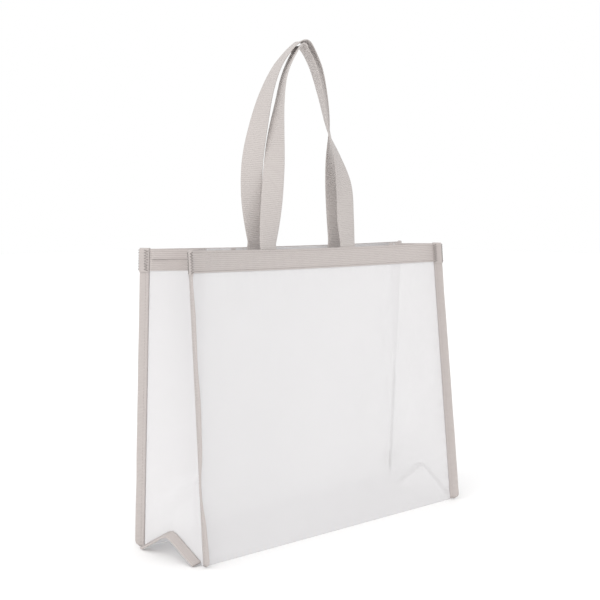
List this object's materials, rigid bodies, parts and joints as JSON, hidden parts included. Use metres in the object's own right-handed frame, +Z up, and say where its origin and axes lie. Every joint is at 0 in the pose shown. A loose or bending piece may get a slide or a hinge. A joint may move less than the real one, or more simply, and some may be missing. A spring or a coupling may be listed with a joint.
{
  "type": "beach bag",
  "caption": "Sheer mesh tote bag with bound seams, a webbing rim, folded-in gussets and two webbing carrying loops.",
  "frame": {"origin": "on the ground, at the middle of the base", "axes": "+X along the bag's width, to the right as seen from its front; -Y out of its front; +Z up"},
  "size_m": [0.5249, 0.1521, 0.6917],
  "materials": {
    "sheer_mesh": "sheer, matt nylon mesh",
    "ribbed_webbing": "ribbed, matt polyester webbing",
    "binding_tape": "ribbed, matt folded tape",
    "label_cloth": "smooth, woven"
  },
  "bodies": {
    "bag_shell": {"base_panel": "sheer_mesh", "back_panel": "sheer_mesh", "back_top_trim": "ribbed_webbing", "left_gusset_back": "sheer_mesh", "right_gusset_back": "sheer_mesh", "left_gusset_trim_back": "ribbed_webbing", "right_gusset_trim_back": "ribbed_webbing", "back_left_binding": "binding_tape", "back_right_binding": "binding_tape", "back_left_tab": "binding_tape", "back_right_tab": "binding_tape", "left_base_binding": "binding_tape", "right_base_binding": "binding_tape", "back_handle_left_end": "ribbed_webbing", "back_handle_right_end": "ribbed_webbing"},
    "front_side": {"front_panel": "sheer_mesh", "front_top_trim": "ribbed_webbing", "left_gusset_front": "sheer_mesh", "right_gusset_front": "sheer_mesh", "left_gusset_trim_front": "ribbed_webbing", "right_gusset_trim_front": "ribbed_webbing", "front_left_binding": "binding_tape", "front_right_binding": "binding_tape", "front_left_tab": "binding_tape", "front_right_tab": "binding_tape", "front_handle_left_end": "ribbed_webbing", "front_handle_right_end": "ribbed_webbing"},
    "front_strap": {"front_handle": "ribbed_webbing"},
    "back_strap": {"back_handle": "ribbed_webbing"},
    "label": {"care_label": "label_cloth"}
  },
  "joints": [
    {"name": "mouth_opening", "type": "hinge", "parent": "bag_shell", "child": "front_side", "pos_m": [0, -0.0625, 0], "axis": [1, 0, 0], "range_deg": [0, 6.3]},
    {"name": "front_handle_swing", "type": "hinge", "parent": "front_side", "child": "front_strap", "pos_m": [0, -0.0005, 0.4056], "axis": [1, 0, 0], "range_deg": [0, 145]},
    {"name": "back_handle_swing", "type": "hinge", "parent": "bag_shell", "child": "back_strap", "pos_m": [0, 0.0265, 0.4088], "axis": [-1, 0, 0], "range_deg": [0, 145]},
    {"name": "care_label_flap", "type": "hinge", "parent": "bag_shell", "child": "label", "pos_m": [0.245, 0.057, 0.0494], "axis": [0, 0, 1], "range_deg": [-25, 17]}
  ]
}
